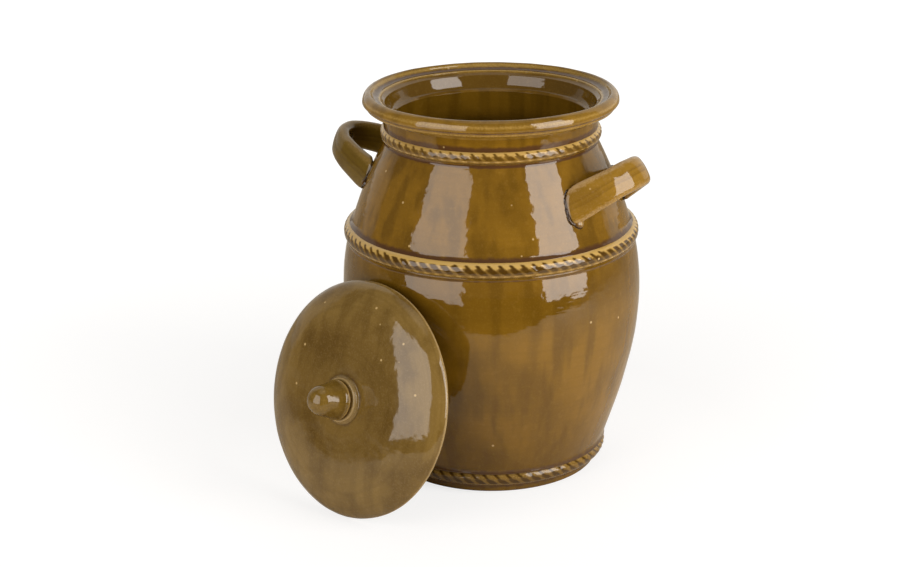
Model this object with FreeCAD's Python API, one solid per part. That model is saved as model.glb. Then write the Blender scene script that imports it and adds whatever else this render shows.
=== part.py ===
import FreeCAD, Part
import math
import os

from FreeCAD import Vector

# A thrown and glazed stoneware fermentation crock, with its loose lid leaning on its belly.
# Millimetres. +Z is up, the origin is the centre of the foot, and the handles lie along X.

# Jar: radii of the outside, and the heights or lengths at which they lie
foot_radius = 83.0
low_wall_radius = 105.0
low_wall_height = 65.0
belly_radius = 117.2
belly_height = 137.0
shoulder_radius = 108.5
shoulder_height = 199.0
shoulder_length = 62.0
shoulder_bulge = 1.5
neck_radius = 83.0
neck_length = 21.0
wall_thickness = 8.0
floor_thickness = 10.0
floor_corner_radius = 14.0
foot_edge_radius = 2.0

# Rim: a rolled lip with a small bead under it, and a sunk seat for the lid inside
rim_depth = 18.0
rim_flare = 16.2
roll_radius = 5.3
under_bead_radius = 2.4
seat_depth = 4.6
seat_width = 5.4
seat_edge_radius = 1.5
throat_height = 280.0

# Rope bands: applied coils, by their place, their breadth on the wall and how far they stand out
neck_rope_rise = 8.6
neck_rope_breadth = 10.6
neck_rope_proud = 3.8
shoulder_rope_drop = 9.1
shoulder_rope_breadth = 13.0
shoulder_rope_proud = 4.2
foot_rope_height = 12.7
foot_rope_breadth = 11.0
foot_rope_proud = 3.4

# Strap handles: a strap, flat inside and crowned outside, bent to a loop whose plane tilts up
# and out from the shoulder. The legs grow wider towards the roots, and each loop hangs a little to
# one side, its rear root lower or higher than its front one.
strap_width = 25.0
strap_thickness = 13.0
strap_edge_radius = 5.5
loop_bend_radius = 22.6
loop_half_span = 39.2
root_sink = 7.5
root_widening = 4.0
right_azimuth = 0.0
right_root_drop = 32.9
right_tilt = 34.2
right_roll = -3.0
right_reach = 37.9
left_azimuth = 180.0
left_root_drop = 28.8
left_tilt = 20.8
left_roll = 0.6
left_reach = 45.2

# Lutes: the collar of soft clay pressed round each root of a handle
lute_margin = 1.3
lute_proud = 1.3
lute_corner_radius = 6.0

# Lid: a flat crown that rounds down more and more to the edge, and a locating ring under it.
# Each angle is the slope at which one round stretch of the upper side goes over into the next.
lid_overlap = 0.6
lid_edge_radius = 2.0
lid_rim_bend_radius = 4.2
lid_rim_bend_angle = 62.0
lid_brow_bend_radius = 17.0
lid_brow_bend_angle = 33.0
lid_flank_bend_radius = 61.0
lid_flank_bend_angle = 6.0
lid_crown_bend_radius = 145.0
lid_thickness = 6.0
ring_clearance = 2.0
ring_thickness = 5.0
ring_depth = 7.7

# Knob: thrown on a low collar, with a lip round its foot and a round tip
collar_radius = 16.9
collar_flare = 3.1
collar_height = 3.6
knob_lip_radius = 15.4
knob_undercut = 1.1
knob_neck_height = 2.2
knob_lip_height = 3.4
knob_tip_radius = 12.0
knob_height = 28.3

# Pose of the lid taken off: it stands on its edge and leans back on the jar
lid_azimuth = -105.8
lid_lean = 15.56
lid_sideways = -3.0
lean_gap = 0.3

# Heights and radii worked out from the sizes above
neck_foot = shoulder_height + shoulder_length
rim_base = neck_foot + neck_length
rim_top = rim_base + rim_depth
inner_neck_radius = neck_radius - wall_thickness
rim_radius = neck_radius + rim_flare
lip_angle = math.radians(145)
lip_inside_radius = rim_radius - roll_radius * (1 - math.cos(lip_angle))
lid_radius = lip_inside_radius + lid_overlap
ring_radius = inner_neck_radius - ring_clearance

# Length that reaches well into the clay, for what is trimmed to the wall afterwards
hidden_length = 30.0

# How far a level edge may be from its height and still be taken for the edge there
level_slack = 0.01


def save(node, shape):
    shape = shape.removeSplitter()
    shape.exportStep(os.path.join("parts", node + ".step"))
    print(node, "solids", len(shape.Solids), "valid", shape.isValid(), "cm3", round(shape.Volume / 1000, 2))


def at(radius, height):
    return Vector(radius, 0, height)


def line(start, end):
    return Part.makeLine(start, end)


def arc(start, middle, end):
    return Part.Arc(start, middle, end).toShape()


def flat(edges):
    return Part.Face(Part.Wire(Part.__sortEdges__(edges)))


def turned(outline):
    """The solid turned about Z from a flat outline."""
    return outline.revolve(Vector(0, 0, 0), Vector(0, 0, 1), 360)


# Jar: the wall's curve from the table to the top of the neck, moved inwards by an inset

def wall_edges(inset):
    low_curve = Part.BSplineCurve()
    low_curve.interpolate([
        at(foot_radius - inset, 0),
        at(low_wall_radius - inset, low_wall_height),
        at(belly_radius - inset, belly_height),
        at(shoulder_radius - inset, shoulder_height),
    ])
    shoulder_start = at(shoulder_radius - inset, shoulder_height)
    shoulder_end = at(neck_radius - inset, neck_foot)
    shoulder_middle = (shoulder_start + shoulder_end) * 0.5 + at(shoulder_bulge, 0)
    shoulder = arc(shoulder_start, shoulder_middle, shoulder_end)
    neck = line(shoulder_end, at(neck_radius - inset, rim_base))
    return [low_curve.toShape(), shoulder, neck]


def wall_outline(inset):
    top = line(at(neck_radius - inset, rim_base), at(0, rim_base))
    axis = line(at(0, rim_base), at(0, 0))
    base = line(at(0, 0), at(foot_radius - inset, 0))
    return flat(wall_edges(inset) + [top, axis, base])


def wall_radius(height):
    """The outside radius of the wall at a height."""
    level = line(at(0, height), at(2 * belly_radius, height))
    nearest_points = Part.Wire(wall_edges(0)).distToShape(level)[1]
    return nearest_points[0][0].x


def edges_at(shape, height):
    return [
        edge for edge in shape.Edges
        if abs(edge.BoundBox.ZMin - height) < level_slack and edge.BoundBox.ZLength < level_slack
    ]


seat_edge_top = at(lip_inside_radius - seat_width + seat_edge_radius, rim_top - seat_depth)
seat_edge_side = seat_edge_top - at(seat_edge_radius, seat_edge_radius)


def mouth_outline():
    """The hollow of the mouth: from the neck's upright inside it widens to the seat's inner edge."""
    widening = seat_edge_side.x - inner_neck_radius
    rise = seat_edge_side.z - throat_height
    curve = (widening ** 2 + rise ** 2) / (2 * widening)
    middle_widening = curve - math.sqrt(curve ** 2 - (rise / 2) ** 2)
    throat = at(inner_neck_radius, throat_height)
    middle = at(inner_neck_radius + middle_widening, throat_height + rise / 2)
    return flat([
        arc(throat, middle, seat_edge_side),
        line(seat_edge_side, at(0, seat_edge_side.z)),
        line(at(0, seat_edge_side.z), at(0, throat_height)),
        line(at(0, throat_height), throat),
    ])


outer_form = turned(wall_outline(0))
floor_slab = Part.makeCylinder(2 * belly_radius, floor_thickness)
cavity = turned(wall_outline(wall_thickness)).cut(floor_slab)
cavity = cavity.makeFillet(floor_corner_radius, edges_at(cavity, floor_thickness))
mouth = turned(mouth_outline())
jar_body = outer_form.makeFillet(foot_edge_radius, edges_at(outer_form, 0)).cut([cavity, mouth])


# Rim: from the neck it flares to the bead and the roll, and falls inside to the seat and its edge

def rim_outline():
    roll_centre = at(rim_radius - roll_radius, rim_top - roll_radius)

    def on_roll(angle):
        return roll_centre + at(roll_radius * math.cos(angle), roll_radius * math.sin(angle))

    roll_foot = on_roll(math.radians(-60))
    lip_inside = on_roll(lip_angle)
    bead_low = roll_foot - at(2.2 * under_bead_radius, 1.35 * under_bead_radius)
    bead_side = roll_foot - at(0.25 * under_bead_radius, 0.9 * under_bead_radius)
    neck_top = at(neck_radius, rim_base)
    flare = at(0.55 * neck_radius + 0.45 * bead_low.x, 0.3 * rim_base + 0.7 * bead_low.z)
    seat_edge_round = seat_edge_top - at(0.7 * seat_edge_radius, 0.3 * seat_edge_radius)
    groove = (lip_inside + seat_edge_top) * 0.5 - at(0, 0.45 * (lip_inside.z - seat_edge_top.z) + 0.5)
    inside = at(inner_neck_radius, rim_base)
    return flat([
        line(inside, neck_top),
        arc(neck_top, flare, bead_low),
        arc(bead_low, bead_side, roll_foot),
        arc(roll_foot, on_roll(math.radians(30)), lip_inside),
        arc(lip_inside, groove, seat_edge_top),
        arc(seat_edge_top, seat_edge_round, seat_edge_side),
        line(seat_edge_side, inside),
    ])


# Rope bands: a rounded coil laid on the wall, to be trimmed to the wall's curve

bands = {
    "neck_rope": (neck_foot + neck_rope_rise, neck_rope_breadth, neck_rope_proud),
    "shoulder_rope": (shoulder_height - shoulder_rope_drop, shoulder_rope_breadth, shoulder_rope_proud),
    "foot_rope": (foot_rope_height, foot_rope_breadth, foot_rope_proud),
}


def band_outline(height, breadth, proud):
    surface = wall_radius(height)
    low = at(surface - proud, height - breadth / 2)
    crest = at(surface + proud, height)
    high = at(surface - proud, height + breadth / 2)
    back_low = at(surface - 2 * proud, height - breadth / 2)
    back_high = at(surface - 2 * proud, height + breadth / 2)
    return flat([arc(low, crest, high), line(high, back_high), line(back_high, back_low), line(back_low, low)])


# Handles: the strap lies flat in XY, with X outwards, before it is tilted and set on the shoulder

handles = {
    "right": (right_azimuth, right_tilt, right_roll, right_root_drop, right_reach),
    "left": (left_azimuth, left_tilt, left_roll, left_root_drop, left_reach),
}


def leg_frame(reach):
    """Where a leg leaves the bend, as an angle about the bend's centre, and the leg's length."""
    centre_x = reach - loop_bend_radius
    root_distance = math.hypot(centre_x, loop_half_span)
    leaving_angle = math.atan2(loop_half_span, -centre_x) - math.acos(loop_bend_radius / root_distance)
    leg_length = math.sqrt(root_distance ** 2 - loop_bend_radius ** 2)
    return leaving_angle, leg_length


def strap_section(width):
    """The edge of the strap's section, standing upright at the bend radius from Z, crowned outside."""
    inner_side = loop_bend_radius - strap_thickness / 2
    outer_side = loop_bend_radius + strap_thickness / 2
    edge_x = inner_side + strap_edge_radius
    edge_z = width / 2 - strap_edge_radius
    crown = outer_side - edge_x - strap_edge_radius
    crown_centre = edge_x - (edge_z ** 2 - crown ** 2) / (2 * crown)
    tangent_angle = math.atan2(edge_z, edge_x - crown_centre)
    edge_middle = (tangent_angle + math.pi) / 2

    def on_edge(side, angle):
        return at(edge_x + strap_edge_radius * math.cos(angle),
                  side * (edge_z + strap_edge_radius * math.sin(angle)))

    return Part.Wire([
        arc(on_edge(-1, tangent_angle), at(outer_side, 0), on_edge(1, tangent_angle)),
        arc(on_edge(1, tangent_angle), on_edge(1, edge_middle), on_edge(1, math.pi)),
        line(on_edge(1, math.pi), on_edge(-1, math.pi)),
        arc(on_edge(-1, math.pi), on_edge(-1, edge_middle), on_edge(-1, tangent_angle)),
    ])


def strap(reach):
    """The bend, and two legs that grow wider until well inside the wall."""
    leaving_angle, leg_length = leg_frame(reach)
    widening = root_widening * (leg_length + hidden_length) / leg_length
    bend_start = strap_section(strap_width)
    leg_end = strap_section(strap_width + widening)
    for section in (bend_start, leg_end):
        section.rotate(Vector(0, 0, 0), Vector(0, 0, 1), math.degrees(leaving_angle))
    along_leg = Vector(-math.sin(leaving_angle), math.cos(leaving_angle), 0)
    leg_end.translate(along_leg * (leg_length + hidden_length))
    bend = Part.Face(bend_start).revolve(Vector(0, 0, 0), Vector(0, 0, -1), 2 * math.degrees(leaving_angle))
    leg = Part.makeLoft([bend_start, leg_end], True, True)
    other_leg = leg.mirror(Vector(0, 0, 0), Vector(0, 1, 0))
    solid = bend.fuse([leg, other_leg])
    solid.translate(Vector(reach - loop_bend_radius, 0, 0))
    return solid


def lute_block(reach, side):
    """A bar round one leg, a margin larger than the strap all round."""
    leaving_angle = leg_frame(reach)[0]
    thickness = strap_thickness + 2 * lute_margin
    width = strap_width + root_widening + 2 * lute_margin
    corner = Vector(-hidden_length, -thickness / 2, -width / 2)
    bar = Part.makeBox(2 * hidden_length, thickness, width, corner)
    long_edges = [edge for edge in bar.Edges if edge.BoundBox.XLength > hidden_length]
    bar = bar.makeFillet(lute_corner_radius, long_edges)
    direction = math.atan2(side * math.cos(leaving_angle), -math.sin(leaving_angle))
    bar.rotate(Vector(0, 0, 0), Vector(0, 0, 1), math.degrees(direction))
    bar.translate(Vector(0, side * loop_half_span, 0))
    return bar


def set_on_shoulder(shape, azimuth, tilt, roll, root_drop):
    root_height = neck_foot - root_drop
    shape.rotate(Vector(0, 0, 0), Vector(1, 0, 0), roll)
    shape.rotate(Vector(0, 0, 0), Vector(0, 1, 0), -tilt)
    shape.translate(Vector(wall_radius(root_height) - root_sink, 0, root_height))
    shape.rotate(Vector(0, 0, 0), Vector(0, 0, 1), azimuth)
    return shape


# Lid: made lying flat, with its underside on the plane z = 0 and the knob up

def dome_edges():
    """The lid's upper side from its widest ring to its axis: tangent arcs, then the flat crown."""
    bends = [
        (lid_rim_bend_radius, lid_rim_bend_angle),
        (lid_brow_bend_radius, lid_brow_bend_angle),
        (lid_flank_bend_radius, lid_flank_bend_angle),
        (lid_crown_bend_radius, 0.0),
    ]
    edges = []
    place = at(lid_radius, lid_edge_radius)
    slope = math.radians(90)
    for radius, end_angle in bends:
        centre = place - at(radius * math.sin(slope), radius * math.cos(slope))
        end_slope = math.radians(end_angle)
        middle_slope = (slope + end_slope) / 2
        middle = centre + at(radius * math.sin(middle_slope), radius * math.cos(middle_slope))
        end = centre + at(radius * math.sin(end_slope), radius * math.cos(end_slope))
        edges.append(arc(place, middle, end))
        place = end
        slope = end_slope
    edges.append(line(place, at(0, place.z)))
    return edges


dome_crown = dome_edges()[-1].Vertexes[0].Z


def dome_height(radius):
    """The height of the lid's upper side at a radius."""
    upright = line(at(radius, 0), at(radius, 2 * dome_crown))
    nearest_points = Part.Wire(dome_edges()).distToShape(upright)[1]
    return nearest_points[0][0].z


def ceiling_arc(reach, edge_height, crown_height):
    """The shallow round ceiling from its edge up to its crown, as an arc that is level at the axis."""
    rise = crown_height - edge_height
    curve = (reach ** 2 + rise ** 2) / (2 * rise)
    middle_height = crown_height - curve + math.sqrt(curve ** 2 - (reach / 2) ** 2)
    return arc(at(reach, edge_height), at(reach / 2, middle_height), at(0, crown_height))


def dome_outline():
    ring_inside = ring_radius - ring_thickness
    ring_low = ring_thickness / 2 - ring_depth
    ceiling_height = dome_height(ring_inside) - lid_thickness
    edge_foot = at(lid_radius - lid_edge_radius, 0)
    edge_middle = at(lid_radius - 0.29 * lid_edge_radius, 0.29 * lid_edge_radius)
    return flat(dome_edges() + [
        arc(at(lid_radius, lid_edge_radius), edge_middle, edge_foot),
        line(edge_foot, at(ring_radius, 0)),
        line(at(ring_radius, 0), at(ring_radius, ring_low)),
        arc(at(ring_radius, ring_low), at(ring_radius - ring_thickness / 2, -ring_depth),
            at(ring_inside, ring_low)),
        line(at(ring_inside, ring_low), at(ring_inside, ceiling_height)),
        ceiling_arc(ring_inside, ceiling_height, dome_crown - lid_thickness),
        line(at(0, dome_crown - lid_thickness), at(0, dome_crown)),
    ])


def collar_outline():
    top = dome_crown + collar_height
    foot = at(collar_radius + collar_flare, dome_crown)
    rounding = collar_height / 2
    top_end = at(collar_radius - rounding, top)
    bead = at(collar_radius - rounding / 4, top - rounding / 4)
    side_end = at(collar_radius, top - rounding)
    sweep = at(collar_radius + collar_flare / 3, dome_crown + rounding / 3)
    return flat([
        line(at(0, dome_crown), at(0, top)),
        line(at(0, top), top_end),
        arc(top_end, bead, side_end),
        arc(side_end, sweep, foot),
        line(foot, at(0, dome_crown)),
    ])


def knob_outline():
    base = dome_crown + collar_height
    lip = base + knob_neck_height
    top = base + knob_height
    neck_radius_above = knob_lip_radius - knob_undercut
    lip_side = at(knob_lip_radius, lip + knob_lip_height / 3)
    lip_end = at(knob_lip_radius - knob_lip_height / 6, lip + knob_lip_height)
    tip_centre = at(0, top - knob_tip_radius)
    to_lip = lip_end - tip_centre
    leaving_angle = math.atan2(to_lip.z, to_lip.x) + math.acos(knob_tip_radius / to_lip.Length)

    def on_tip(angle):
        return tip_centre + at(knob_tip_radius * math.cos(angle), knob_tip_radius * math.sin(angle))

    side_end = on_tip(leaving_angle)
    return flat([
        line(at(0, base), at(neck_radius_above, base)),
        line(at(neck_radius_above, base), at(neck_radius_above, lip)),
        arc(at(neck_radius_above, lip), lip_side, lip_end),
        line(lip_end, side_end),
        arc(side_end, on_tip((leaving_angle + math.radians(90)) / 2), at(0, top)),
        line(at(0, top), at(0, base)),
    ])


def lean_back(shape, distance):
    """Stands a lid piece on its edge, at a distance from the jar's axis, and leans it back."""
    lean = math.radians(lid_lean)
    height = (lid_radius - lid_edge_radius) * math.cos(lean) + lid_edge_radius * (1 - math.sin(lean))
    leaning = shape.copy()
    leaning.rotate(Vector(0, 0, 0), Vector(0, 1, 0), 90 - lid_lean)
    leaning.translate(Vector(distance, 0, height))
    return leaning


def leaning_distance():
    """How far out the lid stands when it comes within the gap of the jar."""
    jar_section = Part.Compound([wall_outline(0)] + [band_outline(*sizes) for sizes in bands.values()])
    half_lid = dome_outline()
    lid_section = Part.Compound([half_lid, half_lid.mirror(Vector(0, 0, 0), Vector(1, 0, 0))])
    distance = belly_radius + lid_radius
    for attempt in range(12):
        gap = lean_back(lid_section, distance).distToShape(jar_section)[0]
        distance -= gap - lean_gap
    return distance


def lean_on_jar(shape, distance):
    leaning = lean_back(shape, distance)
    leaning.translate(Vector(0, lid_sideways, 0))
    leaning.rotate(Vector(0, 0, 0), Vector(0, 0, 1), lid_azimuth)
    return leaning


os.makedirs("parts", exist_ok=True)

save("jar_body", jar_body)
save("rim", turned(rim_outline()).cut(mouth))
for name, sizes in bands.items():
    save(name, turned(band_outline(*sizes)).cut(outer_form))

lute_skin = turned(wall_outline(-lute_proud)).cut(outer_form)
for side_name, (azimuth, tilt, roll, root_drop, reach) in handles.items():
    loop = set_on_shoulder(strap(reach), azimuth, tilt, roll, root_drop)
    save(side_name + "_handle", loop.cut(outer_form))
    for leg_name, leg_side in (("front", -1), ("rear", 1)):
        side = leg_side if side_name == "right" else -leg_side
        block = set_on_shoulder(lute_block(reach, side), azimuth, tilt, roll, root_drop)
        save(side_name + "_" + leg_name + "_lute", block.common(lute_skin).cut(loop))

lid_distance = leaning_distance()
print("the lid's centre stands", round(lid_distance, 2), "mm from the axis")
save("lid_dome", lean_on_jar(turned(dome_outline()), lid_distance))
save("lid_knob_collar", lean_on_jar(turned(collar_outline()), lid_distance))
save("lid_knob", lean_on_jar(turned(knob_outline()), lid_distance))
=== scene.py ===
import math

import bmesh
import bpy
import numpy as np
from mathutils import Matrix, Vector


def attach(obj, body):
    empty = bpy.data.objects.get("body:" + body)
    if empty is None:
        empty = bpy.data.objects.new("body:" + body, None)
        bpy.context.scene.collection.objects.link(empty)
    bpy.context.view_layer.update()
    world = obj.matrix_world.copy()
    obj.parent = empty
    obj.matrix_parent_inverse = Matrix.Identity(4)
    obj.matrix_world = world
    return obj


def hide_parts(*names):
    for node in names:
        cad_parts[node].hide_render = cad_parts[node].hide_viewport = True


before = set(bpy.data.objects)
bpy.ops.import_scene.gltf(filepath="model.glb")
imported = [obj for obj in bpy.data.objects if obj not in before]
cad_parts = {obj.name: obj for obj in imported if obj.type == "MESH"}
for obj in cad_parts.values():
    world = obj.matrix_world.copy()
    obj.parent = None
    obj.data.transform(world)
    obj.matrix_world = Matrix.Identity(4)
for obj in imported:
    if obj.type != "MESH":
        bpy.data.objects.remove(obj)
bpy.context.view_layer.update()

mm = 0.001

# The wall, floor and neck of the jar, and the rim on top of them, are one pull of buff stoneware
# clay on the wheel. The jar is dipped in an amber glaze, which runs clear and yellow where it is
# thin and brown where it pools; the face that it stands on is wiped bare before the firing, though
# here the glaze covers it too.

jar_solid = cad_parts["jar_body"]
foot_edge = 2.0 * mm
wall_step = 2.5 * mm
shoulder_height = 199 * mm
neck_foot = 261 * mm
neck_flare = 0.7 * mm
floor_height = 10 * mm
floor_corner = 14 * mm
floor_middle = 8 * mm
# inside the mouth: the bore of the neck ends at the throat, and two flares lead up to the lid's seat
throat_height = 280 * mm
throat_edge = 0.25 * mm
throat_top = (78.2 * mm, 283.5 * mm)
mouth_slope = math.radians(20)
mouth_corner = 292.0 * mm
corner_round = 1.0 * mm
# the rim's roll: how far it reaches outwards and inwards from its top, and down to its underside
rim_base = 282 * mm
rim_top = 300 * mm
rim_radius = 99.2 * mm
roll_radius = 5.3 * mm
roll_low = 292.4 * mm
roll_under = 2.6 * mm
roll_out = 5.6 * mm
roll_in = 3.2 * mm
bead_radius = 2.4 * mm
seat_depth = 4.6 * mm
seat_width = 5.4 * mm
seat_edge = 1.5 * mm


def skin_radius(height, inside):
    """The radius of the solid's inner or outer skin at a height, averaged over directions."""
    found = []
    for step in range(24):
        angle = math.radians(7 + 15 * step)
        outwards = Vector((math.cos(angle), math.sin(angle), 0))
        level = Vector((0, 0, height))
        start, way = (level, outwards) if inside else (level + outwards, -outwards)
        place = jar_solid.ray_cast(start, way)[1]
        found.append(math.hypot(place.x, place.y))
    return sum(found) / len(found)


def smooth_skin(low, high, inside, power, step=wall_step):
    """Points up the skin between two heights, on one curve that smooths the solid's facets."""
    count = max(3, round((high - low) / step))
    heights = np.linspace(low, high, count + 1)
    radii = [skin_radius(height, inside) for height in heights]
    curve = np.polynomial.Polynomial.fit(heights, radii, power)
    return [(float(curve(height)), float(height)) for height in heights]


def arc(x, z, radius, angles):
    """Points of a round stretch about a centre."""
    return [(x + radius * math.cos(angle), z + radius * math.sin(angle)) for angle in angles]


def bend(start, middle, end, steps):
    """Points of the round stretch through three points, without its start."""
    ax, az = start
    bx, bz = middle
    cx, cz = end
    d = 2 * (ax * (bz - cz) + bx * (cz - az) + cx * (az - bz))
    a2, b2, c2 = ax * ax + az * az, bx * bx + bz * bz, cx * cx + cz * cz
    ox = (a2 * (bz - cz) + b2 * (cz - az) + c2 * (az - bz)) / d
    oz = (a2 * (cx - bx) + b2 * (ax - cx) + c2 * (bx - ax)) / d
    radius = math.hypot(ax - ox, az - oz)
    first = math.atan2(az - oz, ax - ox)
    turn = (math.atan2(cz - oz, cx - ox) - first) % math.tau
    half = (math.atan2(bz - oz, bx - ox) - first) % math.tau
    if half > turn:
        turn -= math.tau
    return arc(ox, oz, radius, [first + turn * (step + 1) / steps for step in range(steps)])


def straight(start, end, steps):
    """Points of a straight stretch, without its start."""
    shares = [(step + 1) / steps for step in range(steps)]
    return [(start[0] + (end[0] - start[0]) * share, start[1] + (end[1] - start[1]) * share)
            for share in shares]


def set_levels(piece, **levels):
    """Keeps a number for each point of the mesh, for the glaze to read."""
    for name, values in levels.items():
        layer = piece.data.attributes.new(name, "FLOAT", "POINT")
        layer.data.foreach_set("value", np.ascontiguousarray(values, dtype=np.float32))


def points_of(piece):
    """The places of a mesh's points, one row for each."""
    points = np.empty(3 * len(piece.data.vertices), dtype=np.float32)
    piece.data.vertices.foreach_get("co", points)
    return points.reshape(-1, 3).astype(float)


def near_rings(radii, heights, rings):
    """How near each point lies to the nearest of some rings: 1 on it, 0 at its reach and beyond."""
    level = np.zeros(len(radii))
    for ring_radius, ring_height, reach, strength in rings:
        away = np.hypot(radii - ring_radius, heights - ring_height) / reach
        level = np.maximum(level, strength * np.clip(1.25 - 1.25 * away, 0, 1))
    return level


def take_up(piece):
    """Selects one piece, to work on it."""
    bpy.ops.object.select_all(action="DESELECT")
    piece.select_set(True)
    bpy.context.view_layer.objects.active = piece


def skin_outwards():
    """Turns every face of the piece in hand outwards, and puts the piece down."""
    bpy.ops.mesh.select_all(action="SELECT")
    bpy.ops.mesh.normals_make_consistent(inside=False)
    bpy.ops.object.mode_set(mode="OBJECT")


def join_open_edges(piece):
    """Closes the piece in hand with a band of faces between its two open edges."""
    bpy.ops.mesh.select_mode(type="EDGE")
    mesh = bmesh.from_edit_mesh(piece.data)
    for edge in mesh.edges:
        edge.select = edge.is_boundary
    bmesh.update_edit_mesh(piece.data)
    bpy.ops.mesh.bridge_edge_loops()
    skin_outwards()


def throw(name, outline, around, pool_rings=(), thin_rings=(), thick=None):
    """A piece turned on the wheel: its outline, drawn as a wire from point to point, spun round."""
    radius, height = outline[0]
    bpy.ops.mesh.primitive_circle_add(vertices=3, radius=mm, location=(radius, 0, height))
    piece = bpy.context.object
    piece.name = name
    bpy.ops.object.transform_apply()
    bpy.ops.object.mode_set(mode="EDIT")
    bpy.ops.mesh.select_mode(type="VERT")
    bpy.ops.mesh.select_all(action="SELECT")
    bpy.ops.mesh.merge(type="CENTER")
    for next_radius, next_height in outline[1:]:
        move = (next_radius - radius, 0, next_height - height)
        bpy.ops.mesh.extrude_region_move(TRANSFORM_OT_translate={"value": move})
        radius, height = next_radius, next_height
    bpy.ops.mesh.select_all(action="SELECT")
    bpy.ops.mesh.spin(steps=around, angle=math.tau, center=(0, 0, 0), axis=(0, 0, 1))
    bpy.ops.mesh.select_all(action="SELECT")
    bpy.ops.mesh.remove_doubles(threshold=0.02 * mm)
    skin_outwards()
    bpy.ops.object.shade_smooth()
    points = points_of(piece)
    radii, heights = np.hypot(points[:, 0], points[:, 1]), points[:, 2]
    # how far along the outline each point lies, for the rings that the fingers left
    path = np.array(outline)
    pulled = np.concatenate(([0], np.cumsum(np.hypot(*np.diff(path, axis=0).T))))
    away = (radii[:, None] - path[:, 0]) ** 2 + (heights[:, None] - path[:, 1]) ** 2
    set_levels(piece, drawn=pulled[away.argmin(axis=1)],
               pool=near_rings(radii, heights, pool_rings), thin=near_rings(radii, heights, thin_rings),
               thick=thick(radii, heights) if thick else np.zeros(len(radii)))
    return piece


def wobble(piece, amounts, hand_height=0):
    """The uneven skin that fingers and a thick glaze leave. It only ever lies inside the true form."""
    for breadth, depth in amounts:
        pressure = bpy.data.textures.new("finger_pressure", "CLOUDS")
        pressure.noise_scale = breadth
        pressure.noise_depth = 1
        dents = piece.modifiers.new("finger_pressure", "DISPLACE")
        dents.texture = pressure
        dents.texture_coords = "LOCAL"
        dents.strength = depth
        dents.mid_level = 1.0
        if hand_height:
            touched = piece.vertex_groups.new(name="touched")
            for vertex in piece.data.vertices:
                touched.add([vertex.index], min(1, vertex.co.z / hand_height), "REPLACE")
            dents.vertex_group = touched.name
        bpy.ops.object.modifier_apply(modifier=dents.name)


def press_in(piece, name, amounts, depth):
    """Presses each point of the skin inwards by its own share of a depth."""
    group = piece.vertex_groups.new(name=name)
    for index in np.nonzero(amounts)[0]:
        group.add([int(index)], float(amounts[index]), "REPLACE")
    pressing = piece.modifiers.new(name, "DISPLACE")
    pressing.vertex_group = name
    pressing.mid_level = 0.0
    pressing.strength = -depth
    bpy.ops.object.modifier_apply(modifier=name)


# breadth and depth of the dents that the potter's fingers leave in the wall
finger_marks = ((34 * mm, 0.55 * mm), (12 * mm, 0.14 * mm))

# inside: the floor, its round corner, the wall and the neck
inner_radius = skin_radius(floor_height + floor_corner, True)
floor_edge = inner_radius - floor_corner
corner_steps = 6
corner_angles = [math.pi / 2 * (step + 1) / corner_steps for step in range(corner_steps)]
corner_heights = [floor_height + floor_corner * (1 - math.cos(angle)) for angle in corner_angles]
jar_outline = [(0, floor_height), (floor_middle, floor_height)]
jar_outline += straight((floor_middle, floor_height), (floor_edge, floor_height), 10)
jar_outline += [(skin_radius(height, True), height) for height in corner_heights]
jar_outline += smooth_skin(floor_height + floor_corner, shoulder_height, True, 6, 5 * mm)[1:]
jar_outline += smooth_skin(shoulder_height, neck_foot, True, 4, 4 * mm)[1:]
neck_inside = skin_radius((neck_foot + throat_height) / 2, True)
neck_outside = skin_radius((neck_foot + rim_base) / 2, False)
jar_outline += straight((neck_inside, neck_foot), (neck_inside, throat_height - throat_edge), 3)

# the rim: the mouth that widens to the seat for the lid, the rolled lip and the bead cut under it
roll_x = rim_radius - roll_radius


def on_roll(degrees):
    """A point of the roll, which a finger has drawn taller above its widest place than below it."""
    angle = math.radians(degrees)
    if degrees < 0:
        return (roll_x + roll_radius * math.cos(angle), roll_low + roll_under * math.sin(angle))
    reach = roll_in if degrees > 90 else roll_out
    return (rim_radius - roll_out + reach * math.cos(angle),
            roll_low + (rim_top - roll_low) * math.sin(angle))


lip = on_roll(143)
roll_side = on_roll(0)
roll_foot = on_roll(-60)
bead_low = (roll_foot[0] - 2.2 * bead_radius, roll_foot[1] - 1.35 * bead_radius)
bead_side = (roll_foot[0] - 0.25 * bead_radius, roll_foot[1] - 0.9 * bead_radius)
neck_top = (neck_outside + neck_flare, rim_base)
flare = (0.55 * neck_outside + 0.45 * bead_low[0], 0.3 * rim_base + 0.7 * bead_low[1])
seat_inner = (roll_x - 0.82 * roll_radius - seat_width + seat_edge, rim_top - seat_depth)
seat_side = (seat_inner[0] - seat_edge, seat_inner[1] - seat_edge)
seat_round = (seat_inner[0] - 0.7 * seat_edge, seat_inner[1] - 0.3 * seat_edge)
groove = (0.55 * lip[0] + 0.45 * seat_inner[0], seat_inner[1] + 0.2 * mm)
corner_x = throat_top[0] + (mouth_corner - throat_top[1]) * math.tan(mouth_slope)
bevel = math.atan2(seat_side[0] - corner_x, seat_side[1] - mouth_corner)
corner_low = (corner_x - corner_round * math.sin(mouth_slope),
              mouth_corner - corner_round * math.cos(mouth_slope))
corner_high = (corner_x + corner_round * math.sin(bevel), mouth_corner + corner_round * math.cos(bevel))
corner_middle = (corner_x - 0.03 * mm, mouth_corner + 0.08 * mm)
jar_outline += [(neck_inside, throat_height),
                (neck_inside + 0.8 * throat_edge, throat_height + throat_edge)]
jar_outline += straight(jar_outline[-1], throat_top, 3)
jar_outline += straight(throat_top, corner_low, 5)
jar_outline += bend(corner_low, corner_middle, corner_high, 4)
jar_outline += straight(corner_high, seat_side, 4)
jar_outline += bend(seat_side, seat_round, seat_inner, 4)
jar_outline += bend(seat_inner, groove, lip, 9)
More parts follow.
